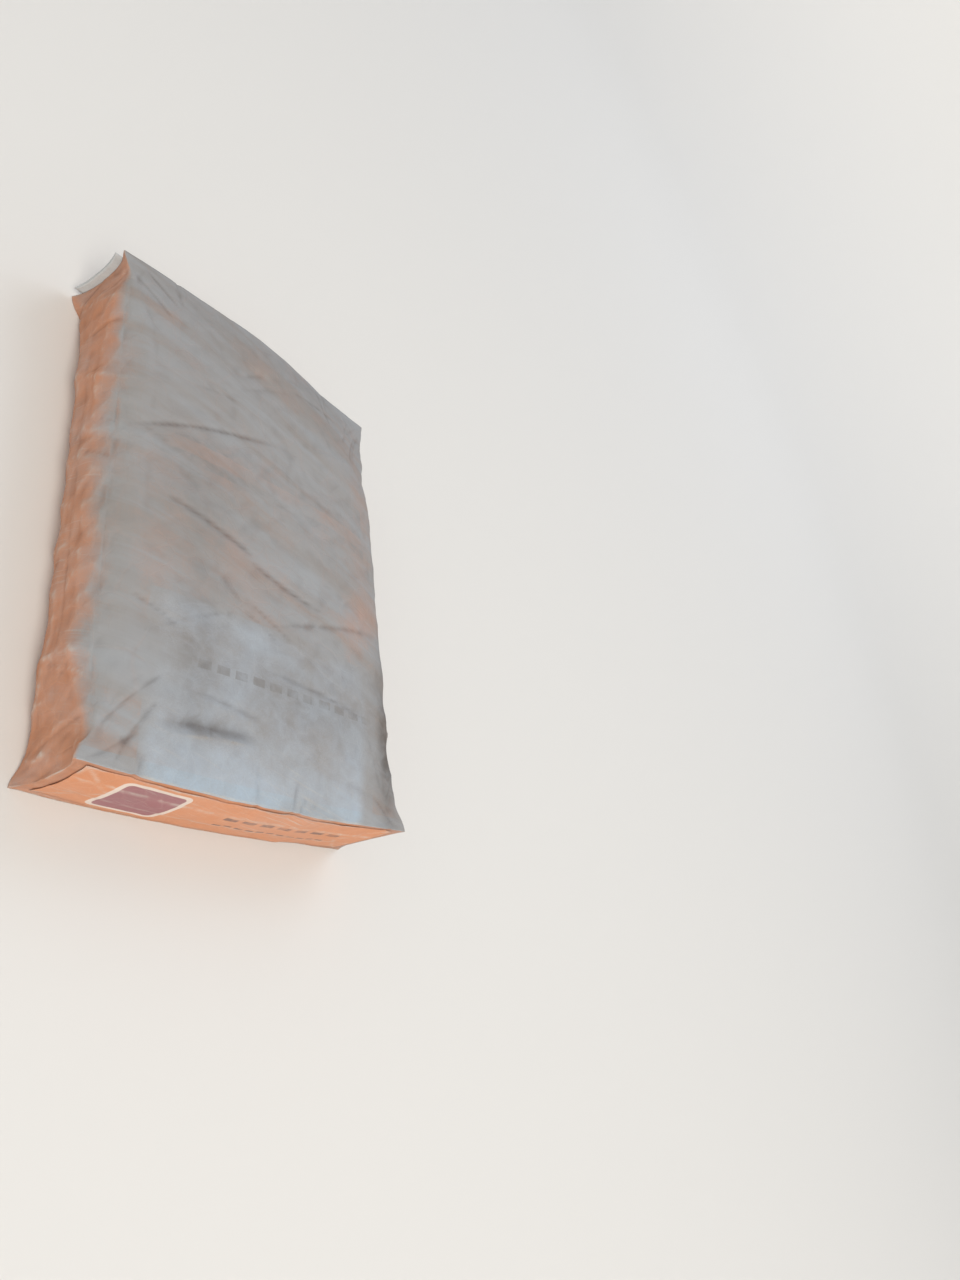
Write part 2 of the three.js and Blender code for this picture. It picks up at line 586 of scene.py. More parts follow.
@dataclass(frozen=True)
class CubeGrid:
    """A grid over the faces of the cube from -1 to 1, with shared vertices on its edges.

    A grid line lies at (1 + k) t - k t cubed, with t evenly spread and k the crowding, so that
    the cells are finer near the rims, where the paper is folded.
    """

    cells: tuple[int, int, int]
    crowding: tuple[float, float, float] = (0.15, 0.22, 0.1)

    def lines(self, axis: int) -> Array:
        """Return the grid lines along one axis of the cube."""
        t = np.linspace(-1.0, 1.0, self.cells[axis] + 1)
        return (1 + self.crowding[axis]) * t - self.crowding[axis] * t**3

    def shell(self) -> tuple[Array, Array]:
        """Number the grid points on the faces.

        Returns:
            A block of vertex numbers, -1 inside the cube, and the cube point of each vertex.
        """
        shape = tuple(count + 1 for count in self.cells)
        index = np.indices(shape)
        last = np.array(self.cells).reshape(3, 1, 1, 1)
        outside = ((index == 0) | (index == last)).any(0)
        ids = np.full(shape, -1)
        ids[outside] = np.arange(outside.sum())
        points = np.stack([self.lines(axis)[index[axis][outside]] for axis in range(3)], 1)
        return ids, points

    def faces(self) -> dict[Face, Array]:
        """Lay out the vertices of each face.

        Returns:
            Each face's grid of vertex numbers, whose rows cross columns points outward.
        """
        ids, _ = self.shell()
        middle = self.cells[0] // 2
        return {
            Face.UPPER: ids[:, :, -1],
            Face.LEFT: ids[0].T,
            Face.RIGHT: ids[-1],
            Face.UNDER_LEFT: ids[: middle + 1, :, 0].T,
            Face.UNDER_RIGHT: ids[middle:, :, 0].T,
            Face.NEAR: ids[:, 0, :],
            Face.VALVE: ids[:, -1, :].T,
        }

    def face_lines(self, face: Face) -> tuple[Array, Array]:
        """Find where the grid lines of a face lie on the cube.

        Args:
            face: The face.

        Returns:
            The cube coordinate that changes from row to row, and the one from column to column.
        """
        block = self.faces()[face]
        lines = (self.shell()[1][ids] for ids in (block[:, 0], block[0]))
        return tuple(line[:, np.ptp(line, axis=0).argmax()] for line in lines)

    def between(self, face: Face, values: Array, rows: Array, columns: Array) -> Array:
        """Carry values to other grid lines of one face, by cubic splines along both axes.

        Args:
            face: The face.
            values: One row for each vertex of this grid.
            rows: Cube coordinates of the wanted rows.
            columns: Cube coordinates of the wanted columns.

        Returns:
            The values at each row and column.
        """
        across, along = (
            spline_rows(len(knots), np.interp(places, knots, np.arange(len(knots))))
            for knots, places in zip(self.face_lines(face), (rows, columns))
        )
        return np.einsum("ip,pqd,jq->ijd", across, values[self.faces()[face]], along, optimize=True)

    def carried(self, values: Array, finer: "CubeGrid") -> Array:
        """Carry values from this grid's vertices to a finer grid's.

        Args:
            values: One row for each vertex of this grid.
            finer: The other grid.

        Returns:
            One row for each vertex of the finer grid.
        """
        result = np.zeros((len(finer.shell()[1]), values.shape[1]))
        for face, block in finer.faces().items():
            result[block] = self.between(face, values, *finer.face_lines(face))
        return result


@dataclass(frozen=True)
class SackForm:
    """The filled sack without its creases, as one function of a point on the cube.

    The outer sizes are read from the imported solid, and the rest repeats the part's source.
    """

    span: Vector
    ear_reach: float = 10 * MM
    side_swell: float = 6 * MM
    rim_height: float = 104 * MM
    rim_bow: float = 6 * MM
    end_swell: float = 4 * MM
    side_radius: float = 36 * MM
    rim_radius: float = 3 * MM
    shoulder: float = 0.4
    ear_spread: float = 0.11
    lump: float = 1.5 * MM
    corner_slump: float = 18 * MM
    lean: float = 12 * MM

    @property
    def half_width(self) -> float:
        """Half the width of an end face without its ears."""
        return self.span.x / 2 - 0.89 * self.ear_reach

    @property
    def half_length(self) -> float:
        """Half the length from rim to rim, at the corners."""
        return self.span.y / 2 - self.rim_bow - self.end_swell

    def place(self, cube: Array) -> Array:
        """Place points of the cube on the sack.

        The cross-section is a rectangle with rounded corners, whose radius eases from the rim's
        to the side's along the shoulder. The upper face adds a crown that falls off with the
        fourth powers of a and b, a few low waves where the powder lies unevenly, and a slump of
        the far corner, which has lost its ear. The ends swell by a dome times a dome, and the
        ears reach out where a, b and c are all near 1. The powder leans out to the near right.

        Args:
            cube: Points (a, b, c), one row each.

        Returns:
            Places in metres, one row each.
        """
        a, b, c = cube.T
        shoulder = ease(1 - np.abs(b), 0, self.shoulder)
        half_width = self.half_width + self.side_swell * shoulder
        half_height = self.rim_height / 2
        radius = self.rim_radius + (self.side_radius - self.rim_radius) * shoulder
        square = np.stack([a * half_width, c * half_height])
        inner = np.stack([half_width - radius, half_height - radius])
        centre = np.clip(square, -inner, inner)
        offset = square - centre
        rounded = centre + offset * radius / np.maximum(np.hypot(*offset), 1e-9)
        outside = np.maximum(np.abs(a), np.abs(c)) > 1 - 1e-6
        x, z = np.where(outside, rounded, square)

        height = z + half_height
        crown = (self.span.z - self.rim_height) * (1 - np.minimum(a**4, 1)) ** 1.5 * (1 - b**4)
        waves = np.sin(5.1 * a + 2.3 * b + 0.6) * np.sin(2.2 * a - 6.3 * b) + np.sin(9.4 * b + 3.1 * a)
        slump = self.corner_slump * ease(a + 1.4 * b, 1.25, 2.4)
        lift = crown + self.lump * waves * dome(b) * dome(0.9 * a) - slump
        corner_a, corner_b = (ease(np.abs(share), 1 - self.ear_spread, 1) for share in (a, b))
        ear = np.abs(c) ** 3 * corner_a * corner_b
        lost = ease(a, 0, 1) * ease(b, 0, 1) * ease(c, -1, 1)
        x = x + np.sign(a) * self.ear_reach * ear * (1 - 0.8 * lost)
        x = x + self.lean * ease(a, -0.2, 1) * ease(-b, -0.6, 0.6) * (0.4 + 0.6 * ease(c, -1, 0.6))
        up = dome(2 * height / self.rim_height - 1)
        end_reach = dome(x / self.half_width) * (self.rim_bow + self.end_swell * up)
        y = b * self.half_length + np.sign(b) * np.abs(b) ** 10 * end_reach
        return np.stack([x, y, height + lift * height / self.rim_height], 1)

    def sheet(self, face: Face, cube: Array) -> Array:
        """Place points of one face of the cube on the flat paper sheet.

        It is measured from the middle of the upper face, over the sides, to the glued seam of the
        underside. Past a rim it runs on down the end face.

        Args:
            face: The face.
            cube: Points (a, b, c), one row each.

        Returns:
            The distances (around, along) in metres, one row each.
        """
        a, b, c = cube.T
        down = (1 - c) / 2 * self.rim_height
        around, along = a * self.half_width, b * self.half_length
        if face in (Face.NEAR, Face.VALVE):
            along = np.sign(b) * (self.half_length + down)
        elif face in (Face.LEFT, Face.RIGHT):
            around = np.sign(a) * (self.half_width + down)
        elif face is not Face.UPPER:
            side = -1 if face is Face.UNDER_LEFT else 1
            around = side * (2 * self.half_width + self.rim_height - np.abs(a) * self.half_width)
        return np.stack([around, along], 1)


@dataclass(frozen=True)
class Fold:
    """One crease or ridge in the paper, a slightly bent line on the flat sheet.

    Across the line its height is depth times e to the minus distance over width, so it is sharp
    on the line. It tapers to nothing at both ends. The shoulder raises the paper on both sides,
    as where stiff paper bulges beside a crease.
    """

    start: Pair
    end: Pair
    depth: float
    width: float
    bend: float = 0.0
    shoulder: float = 0.0

    @classmethod
    def in_mm(cls, *numbers: float) -> "Fold":
        """Return the fold with this start, end, depth, width, bend and shoulder, in mm."""
        start_x, start_y, end_x, end_y, *rest = (MM * number for number in numbers)
        return cls((start_x, start_y), (end_x, end_y), *rest)

    def height(self, sheet: Array) -> Array:
        """Work out the fold's height.

        Args:
            sheet: Points (around, along) of the flat sheet.

        Returns:
            One height in metres a point.
        """
        start = np.array(self.start)
        run = np.array(self.end) - start
        length = math.hypot(*run)
        run = run / length
        along = (sheet - start) @ run / length
        across = (sheet - start) @ np.array([-run[1], run[0]]) - self.bend * (1 - (2 * along - 1) ** 2)
        taper = ease(along, -0.05, 0.3) * (1 - ease(along, 0.7, 1.05))
        distance = np.abs(across) / self.width
        raised = self.shoulder * distance * np.exp(-0.5 * distance**2)
        return taper * (self.depth * np.exp(-distance) + raised)


@dataclass(frozen=True)
class Facets:
    """The facets of stiff creased paper, which meet in straight crisp ridges.

    Facet middles are strewn one in each cell of a lattice that is drawn out along a heading, in
    degrees from the around axis. A point's height is depth times the squared distance to its
    nearest middle, counted in cells, less its mean. So each facet is a dish with a sharp border.
    """

    cell: Pair
    heading: float
    depth: float
    seed: int
    mean: float = 0.2
    repeat: int = 64

    def height(self, sheet: Array) -> Array:
        """Work out the facets' height.

        Args:
            sheet: Points (around, along) of the flat sheet.

        Returns:
            One height in metres a point.
        """
        place = turned(sheet, self.heading) / np.array(self.cell)
        home = np.floor(place).astype(int)
        middles = np.random.default_rng(self.seed).random((self.repeat, self.repeat, 2))
        nearest = np.full(len(sheet), np.inf)
        for step in itertools.product((-1, 0, 1), repeat=2):
            cell = home + step
            middle = cell + middles[cell[:, 0] % self.repeat, cell[:, 1] % self.repeat]
            nearest = np.minimum(nearest, ((place - middle) ** 2).sum(1))
        return self.depth * (nearest - self.mean)


@dataclass(frozen=True)
class Spread:
    """A crowd of small folds, strewn over the sheet by up to the reach from the middle.

    The other pairs are the lowest and highest value that a fold may take, the heading in degrees
    from the around axis and the rest in mm.
    """

    count: int
    middle: Pair
    reach: Pair
    heading: Pair
    length: Pair
    depth: Pair
    width: Pair = (2.5, 5)

    def folds(self, rng: np.random.Generator) -> list[Fold]:
        """Draw the folds.

        Args:
            rng: The seeded source of chance.

        Returns:
            The folds, each value drawn evenly between its lowest and highest.
        """
        chance = rng.random((6, self.count))
        middle = np.array(self.middle)[:, None] + np.array(self.reach)[:, None] * (2 * chance[:2] - 1)
        spans = (self.heading, self.length, self.depth, self.width)
        heading, length, depth, width = (
            low + (high - low) * row for (low, high), row in zip(spans, chance[2:])
        )
        heading = np.radians(heading)
        run = length * MM * np.stack([np.cos(heading), np.sin(heading)])
        rows = zip((middle - run / 2).T, (middle + run / 2).T, depth * MM, width * MM, length * MM)
        return [
            Fold(tuple(first), tuple(last), deep, wide, bend=0.04 * long, shoulder=-0.35 * deep)
            for first, last, deep, wide, long in rows
        ]


@dataclass(frozen=True)
class Spot:
    """A soft oval spot on the upper face, with its share in the middle and its half widths."""

    share: float
    centre: Pair
    radii: Pair
    turn: float = 0.0

    def at(self, points: Array) -> Array:
        """Return share times e to the minus squared distance from it, counted in its radii."""
        offset = turned(points - np.array(self.centre), self.turn) / np.array(self.radii)
        return self.share * np.exp(-(offset**2).sum(-1))


# Stiff sack paper, blown up slightly and held softly to the powder
CLOTH = {
    **dict.fromkeys(("tension_stiffness", "compression_stiffness"), 120),
    **dict.fromkeys(("tension_damping", "compression_damping", "shear_damping"), 10),
    **dict.fromkeys(("shrink_min", "shrink_max"), -0.015),
    "quality": 5,
    "mass": 0.3,
    "shear_stiffness": 80,
    "bending_stiffness": 0.05,
    "bending_damping": 0.5,
    "use_pressure": True,
    "uniform_pressure_force": 0.5,
    "pin_stiffness": 1.0,
}


@dataclass
class FilledSack:
    """The paper sack with its fill: form, buckles, folds, and the printed and dusty finish."""

    form: SackForm
    coarse: CubeGrid = CubeGrid((80, 120, 20))
    fine: CubeGrid = CubeGrid((142, 214, 40))
    seed: int = 11
    cloth_frames: int = 14
    ripples: int = 60
    ripple_rate: float = 60.0
    ripple_height: float = 0.6 * MM
    hold: float = 0.2
    buckle_out: float = 5 * MM
    powder_give: float = 1.8 * MM
    side_share: float = 0.65
    pressed_share: float = 0.45
    seam_lap: float = 18 * MM
    facets: tuple[Facets, ...] = (
        Facets((88 * MM, 46 * MM), -24, 6.0 * MM, 5),
        Facets((42 * MM, 25 * MM), 31, 2.6 * MM, 8),
    )
    band: Mark = Mark((0.0, -209 * MM), (150 * MM, 92 * MM), 1 * MM, edge=1.5 * MM)
    scuff: Spot = Spot(1.0, (-0.012, 0.238), (0.045, 0.008), -3)
    thin_dust: tuple[Spot, ...] = (
        Spot(0.20, (0.150, -0.058), (0.034, 0.050), -50),
        Spot(0.12, (-0.095, -0.030), (0.045, 0.016), -13),
        Spot(0.10, (-0.165, -0.160), (0.030, 0.130)),
        Spot(0.04, (0.0, 0.078), (0.150, 0.045)),
    )
    # Darkening spots, soil and painted shade together: a painted shadow in a strip left of the band,
    # painted shade along the right shoulder where it turns from the light, painted shade in the dent by
    # the near rim, and two darker patches.
    soiled_and_shaded: tuple[Spot, ...] = (
        Spot(0.30, (-0.100, -0.175), (0.026, 0.110)),
        Spot(0.90, (0.190, -0.205), (0.018, 0.100)),
        Spot(0.44, (-0.070, -0.247), (0.050, 0.012), 3),
        Spot(0.25, (-0.110, 0.030), (0.060, 0.060)),
        Spot(0.30, (0.040, -0.190), (0.120, 0.045)),
    )

    def __post_init__(self) -> None:
        """Buckle the paper and draw its folds, which the end patches follow too."""
        self.buckles = self.buckled()
        self.folds = self.named_folds() + self.strewn_folds()

    def named_folds(self) -> list[Fold]:
        """List the creases that the photograph shows, and those that the making leaves.

        Returns:
            Folds on the flat sheet.
        """
        side = self.form.half_width + self.form.rim_height / 2
        lap = 2 * side - self.seam_lap
        seen = (
            (-190, 64, 10, 137, -2.0, 6, 4, 1.0),
            (-150, -4, -20, -40, -1.9, 7, 3, 1.0),
            (-40, -42, 70, -70, -1.9, 6, -3, 0.9),
            (-130, -250, -10, -244, -4.0, 14, 2, 0.8),
            (-125, -262, -20, -252, 2.6, 5, 2),
            (-100, -214, -10, -226, -1.4, 6, 2, 0.6),
            (-40, -94, 20, -124, -0.9, 3, 1, 0.5),
            (-50, -104, 5, -133, -0.8, 3, 1, 0.5),
            (-20, -168, 130, -182, -1.4, 5, 3, 0.6),
            (-120, 10, 30, 60, 1.5, 9, 5),
            (20, 150, 160, 200, 1.4, 10, -6),
            (-20, -120, 170, -60, -1.5, 7, 6, 0.8),
        )
        end, seam_end = 0.95 * self.form.half_length, 0.99 * self.form.half_length
        made = [
            Fold((sign * side, -end), (sign * (side + 4 * MM), end), -1.1 * MM, 2.5 * MM, 2 * MM)
            for sign in SIGNS
        ]
        seam = Fold((lap, -seam_end), (lap, seam_end), 0.5 * MM, 2 * MM)
        return [*(Fold.in_mm(*numbers) for numbers in seen), *made, seam]

    def strewn_folds(self) -> list[Fold]:
        """Draw the many small creases of handling: at the ends, corners, sides and faces.

        Returns:
            Folds on the flat sheet.
        """
        rng = np.random.default_rng(self.seed)
        width, length, height = self.form.half_width, self.form.half_length, self.form.rim_height
        corners = list(itertools.product(SIGNS, repeat=2))
        side, under = width + 50 * MM, 1.5 * width + height
        spreads = [
            *(Spread(16, (0, y * length - 0.01), (width, 0.025), (70, 110), (30, 100), (-1.5, 0.7))
              for y in SIGNS),
            *(Spread(5, (0.17 * x, 0.26 * y), (0.03, 0.03), (35 * x * y, 65 * x * y), (60, 130),
                     (-1.9, 0.8), (3, 6)) for x, y in corners),
            *(Spread(14, (x * side, 0), (x * 0.03, length), (-25, 25), (40, 120), (-1.2, 0.6))
              for x in SIGNS),
            *(Spread(7, (x * side, y * (length - 0.05)), (x * 0.04, y * 0.05), (-40, 40), (50, 120),
                     (-1.8, 0.9)) for x, y in corners),
            Spread(34, (0, 0), (width, length), (-60, 60), (40, 150), (-1.1, 0.8), (3, 7)),
            *(Spread(24, (x * under, 0), (width / 2, length), (-60, 60), (40, 150), (-0.9, 0.6), (3, 7))
              for x in (1, -1)),
        ]
        return [fold for spread in spreads for fold in spread.folds(rng)]

    def buckled(self) -> Array:
        """Buckle the paper on its powder, by Blender's cloth.

        The sheet starts with small ripples, a sum of sines in drawn directions. It is a little
        larger than the powder, is blown up slightly, and is held softly to the powder under it.
        It stands off by up to buckle_out and sinks in by up to powder_give, each as a limit times
        a hyperbolic tangent. The upper and lower faces keep less of it, as sacks lay on them.

        Returns:
            Displacement of each vertex of the coarse grid, one row each.
        """
        _, cube = self.coarse.shell()
        base = self.form.place(cube)
        quads = np.concatenate([grid_quads(block) for block in self.coarse.faces().values()])
        piece = add_mesh("buckling_paper", base, quads)
        normals = vertex_normals(piece)
        rng = np.random.default_rng(self.seed)
        waves = rng.normal(0.0, self.ripple_rate, (self.ripples, 3))
        unevenness = np.sin(base @ waves.T + rng.uniform(0, 2 * np.pi, self.ripples)).sum(1) / 8
        move_vertices(piece, base + normals * (self.ripple_height * unevenness)[:, None])

        held = piece.vertex_groups.new(name="held_by_powder")
        held.add(list(range(len(base))), self.hold, "REPLACE")
        modifier = piece.modifiers.new("paper", "CLOTH")
        for setting, value in CLOTH.items():
            setattr(modifier.settings, setting, value)
        modifier.settings.effector_weights.gravity = 0
        modifier.settings.vertex_group_mass = held.name
        modifier.point_cache.frame_start = 1
        modifier.point_cache.frame_end = self.cloth_frames
        scene = bpy.context.scene
        for number in range(1, self.cloth_frames + 1):
            scene.frame_set(number)
        settled = piece.evaluated_get(bpy.context.evaluated_depsgraph_get()).to_mesh()
        places = np.zeros(len(base) * 3, np.float32)
        settled.vertices.foreach_get("co", places)
        move = places.reshape(-1, 3).astype(float) - base
        move = (move + smoothed(piece, move, 1)) / 2
        scene.frame_set(1)
        bpy.data.meshes.remove(piece.data)

        outward = (move * normals).sum(1)
        sideways = move - outward[:, None] * normals
        limit = np.where(outward > 0, self.buckle_out, self.powder_give)
        level = ease(np.abs(normals[:, 2]), 0.5, 0.95)
        kept = self.side_share + (self.pressed_share - self.side_share) * level
        return (sideways + (limit * np.tanh(outward / limit))[:, None] * normals) * kept[:, None]

    def fold_height(self, sheet: Array) -> Array:
        """Add up the heights of all folds and facets.

        The facets are pressed flatter on the upper face, and fade away towards the two ends,
        where the paper is folded double and stiff.

        Args:
            sheet: Points (around, along) of the flat sheet.

        Returns:
            One height in metres a point.
        """
        around, along = np.abs(sheet).T
        edge = self.form.half_width
        crushed = 0.30 + 0.70 * ease(around, edge - 40 * MM, edge + 15 * MM)
        crushed = crushed * ease(self.form.half_length - along, 0, 30 * MM)
        facets = sum(facet.height(sheet) for facet in self.facets)
        return sum(fold.height(sheet) for fold in self.folds) + crushed * facets

    def build(self) -> bpy.types.Object:
        """Make the sack's mesh: form, then buckles, then folds along the normals, then the floor.

        Returns:
            The sack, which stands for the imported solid.
        """
        _, cube = self.fine.shell()
        points = self.form.place(cube) + self.coarse.carried(self.buckles, self.fine)
        height, shared = np.zeros(len(points)), np.zeros(len(points))
        quads, corners = [], []
        for face, block in self.fine.faces().items():
            ids = block.ravel()
            sheet = self.form.sheet(face, cube[ids])
            height[ids] += self.fold_height(sheet)
            shared[ids] += 1
            quads.append(grid_quads(block))
            corners.append(sheet[grid_quads(np.arange(block.size).reshape(block.shape))].reshape(-1, 2))
        self.piece = add_mesh("plaster_sack", points, np.concatenate(quads), np.concatenate(corners))
        points = points + vertex_normals(self.piece) * (height / shared)[:, None]
        points[:, 2] = np.maximum(points[:, 2], 0.0)
        move_vertices(self.piece, points)
        self.mark_wear_and_shade(points)
        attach(self.piece, "root")
        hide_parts("filled_sack")
        return self.piece

    def mark_wear_and_shade(self, points: Array) -> None:
        """Store where the paper is rubbed, creased, dusty, and darkened by soil and painted shade, for its
        material.

        A ridge stands outside the mean of its neighbours, and a crease inside it. Dust lies where
        the paper faces up, by its broad slope and its wrinkles, with a film on the sides. It is
        thin on the smooth pale band, most of all near the rim, and at the spots of thin_dust.
        The crease mask is used for painted shade in the creases. Soil and painted shade together darken
        the paper towards the far end and at the listed spots: a painted shadow left of the band, painted
        shade along the right shoulder and in the dent by the near rim, and two darker patches.

        Args:
            points: Final vertex places.
        """
        normals = vertex_normals(self.piece)
        relief, hollow = (
            ((points - smoothed(self.piece, points, rounds)) * normals).sum(1) for rounds in (3, 12)
        )
        flat = points[:, :2]
        across, near = np.abs(points[:, 0]), -points[:, 1]
        side, top = self.band.half[0], -self.band.centre[1] - self.band.half[1]
        band = 0.26 * ease(near, top - 3 * MM, top + 17 * MM) + 0.30 * ease(near, 0.215, 0.305)
        band = band * (1 - ease(across, side - 18 * MM, side + 3 * MM))
        scuffed = self.scuff.at(flat)
        thin = sum(spot.at(flat) for spot in self.thin_dust) + 0.08 * scuffed + band
        # Soil and painted shade together, from the listed spots, and darker towards the far end.
        soil_and_shade = sum(spot.at(flat) for spot in self.soiled_and_shaded) + 0.12 * ease(-near, 0.12, 0.28)
        slope = 0.55 * smoothed(self.piece, normals, 14)[:, 2] + 0.45 * normals[:, 2]
        lying = 0.32 * ease(slope, -0.9, -0.1) + 0.68 * ease(slope, -0.05, 0.80)
        for name, values in {
            "ridge": np.clip((relief - 0.12 * MM) / (0.7 * MM) + 0.9 * scuffed, 0, 1),
            # The crease mask darkens the hollows as painted shade, and thins their dust.
            "crease": np.clip(-hollow / (2.0 * MM), 0, 1),
            "soil_and_shade": soil_and_shade,
            "dust": lying * (1 - thin),
        }.items():
            set_attribute(self.piece, name, values)

    def end_surface(self, face: Face, across: Pair, up: Pair) -> tuple[Array, Array, Array]:
        """Work out a stretch of a creased end face on its own grid lines, for what is glued on it.

        Args:
            face: Face.NEAR or Face.VALVE.
            across: From which to which X.
            up: From which to which height, before the far corner slumps.

        Returns:
            Its points, their outward normals, and their (X, height) when flat.
        """
        half_width, half_height = self.form.half_width, self.form.rim_height / 2
        scaled = (
            trimmed(self.fine.lines(0) * half_width, *across) / half_width,
            trimmed((1 + self.fine.lines(2)) * half_height, *up) / half_height - 1,
        )
        order = 1 if face is Face.NEAR else -1
        rows, columns = scaled[::order]
        a, c = np.meshgrid(rows, columns, indexing="ij")[::order]
        cube = np.stack([a.ravel(), np.full(a.size, -float(order)), c.ravel()], 1)
        buckles = self.coarse.between(face, self.buckles, rows, columns)
        points = self.form.place(cube).reshape(buckles.shape) + buckles
        normals = grid_normals(points)
        height = self.fold_height(self.form.sheet(face, cube)).reshape(points.shape[:2])
        flat = np.stack([a * half_width, (c + 1) * half_height], -1)
        return points + normals * height[..., None], normals, flat

    def dress(self) -> None:
        """Give the sack its printed and dusted paper, a pale band and plain bars on orange ink."""
        back = 2 * self.form.half_width + self.form.rim_height
        across = (0.0, -back, back)
        band = [replace(self.band, centre=(middle, self.band.centre[1])) for middle in across]
        rim = [Mark((middle, -0.297), (0.196, 0.008), 1 * MM) for middle in across]
        bars = [Mark((0.0, 0.096), (0.150, 0.021)), Mark((0.0, 0.051), (0.150, 0.006))]
        row = Mark((0.0, -0.184), (7.5 * MM, 4.5 * MM), copies=6, pitch=22 * MM)
        lines = [
            Mark((side * (back - 0.08), 0.17 - 0.022 * line), (0.055, 0.0022))
            for side in SIGNS for line in range(8)
        ]
        # Matt orange ink shows on the sides, and grey dust takes its colour away where it lies.
        paper = DustedPaper(
            name="Flexo-printed sack kraft with gypsum dust",
            ground="#CB804F",
            inks=(
                Ink("#A7BBCB", (*band, *rim)),
                Ink("#3E474F", (*bars, *lines), 0.85),
                Ink("#50555C", (row,), 0.9),
            ),
        )
        self.piece.data.materials.append(paper.material())


@dataclass
class EndPatch:
    """The cover sheet that is glued over one folded end of the sack.

    The dust is how much lies on it where it is upright, and how much more where it faces up.
    """

    sack: FilledSack
    face: Face
    node: str
    paper: float = 0.5 * MM
    glue_gap: float = 0.3 * MM
    curl: float = 0.7 * MM
    curl_reach: float = 9 * MM
    layer: float = 0.7 * MM
    layer_ramp: float = 7 * MM
    overlap: float = 13 * MM
    rubbed_edge: float = 2.5 * MM
    dust: Pair = (0.10, 0.25)
    sleeve: "ValveSleeve | None" = None

    def layers(self, x: Array, height: Array) -> Array:
        """Count the further layers of folded paper under the patch, from 0 to 2.

        The two long flaps overlap in a strip along the middle, and a triangle is folded in at
        each side, whose edges run at 45 degrees from the corners.

        Args:
            x: Places across the end.
            height: Heights on it.

        Returns:
            The number of layers, eased over the ramp.
        """
        form = self.sack.form
        from_middle = np.abs(height - form.rim_height / 2)
        strip = 1 - ease(from_middle, self.overlap, self.overlap + self.layer_ramp)
        inside = form.half_width - np.abs(x) - form.rim_height / 2 + from_middle
        triangle = 1 - ease(inside, 0, self.layer_ramp)
        return strip + triangle

    def build(self) -> bpy.types.Object:
        """Lay the sheet on the creased end face, over the valve sleeve where there is one.

        Its edges stand off by the curl times a slow wave, where the glue did not reach them. They
        are rubbed pale, and so are the steps between one number of layers and the next.

        Returns:
            The patch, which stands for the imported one.
        """
        low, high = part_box(self.node)
        points, normals, flat = self.sack.end_surface(self.face, (low.x, high.x), (low.z, high.z))
        x, height = flat[..., 0], flat[..., 1]
        inset = np.minimum(np.minimum(x - low.x, high.x - x), np.minimum(height - low.z, high.z - height))
        wave = 0.5 + 0.5 * np.sin(61 * x + 2.1 * np.sin(35 * height) + 1.3)
        layers = self.layers(x, height)
        lift = self.glue_gap + self.layer * layers
        lift = lift + self.curl * wave * (1 - ease(inset, 0, self.curl_reach))
        if self.sleeve:
            lift = lift + self.sleeve.bump(x, height)
        sides = (points + normals * distance[..., None] for distance in (lift, lift + self.paper))
        self.piece = add_thin_sheet(self.face.value + "_patch_paper", *sides, flat)
        level = ease(vertex_normals(self.piece)[:, 2], 0.05, 0.7)
        set_attribute(self.piece, "dust", self.dust[0] + self.dust[1] * level)
        edge = 0.8 * (1 - ease(inset, 0, self.rubbed_edge)) * ease(wave, 0.1, 0.7)
        step = 2.4 * (layers % 1) * (1 - layers % 1)
        set_attribute(self.piece, "ridge", np.tile(np.maximum(edge, step).ravel(), 2))
        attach(self.piece, "root")
        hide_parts(self.node)
        return self.piece

    def dress(self) -> None:
        """Print the patch orange, with a muted square beside two rows of equal dashes."""
        left, right, middle = -0.107, 0.0625, 52 * MM
        dashes = (
            Mark((right, middle + 10 * MM), (8 * MM, 3.5 * MM), copies=3, pitch=23 * MM),
            Mark((right, middle - 12 * MM), (5 * MM, 2 * MM), copies=5, pitch=14 * MM),
        )
        # The upright end holds little dust, so its matt orange is cleaner than the sack's.
        paper = DustedPaper(
            name="Flexo-printed patch kraft, " + self.face.value,
            ground="#D88E60",
            dust_floor=0.12,
            inks=(
                Ink("#E5D3C6", (Mark((left, middle), (0.037, 0.037), 9 * MM),)),
                Ink("#9C6166", (Mark((left, middle), (0.032, 0.032), 6 * MM),)),
                Ink("#6A4636", dashes, 0.85),
            ),
        )
        self.piece.data.materials.append(paper.material())


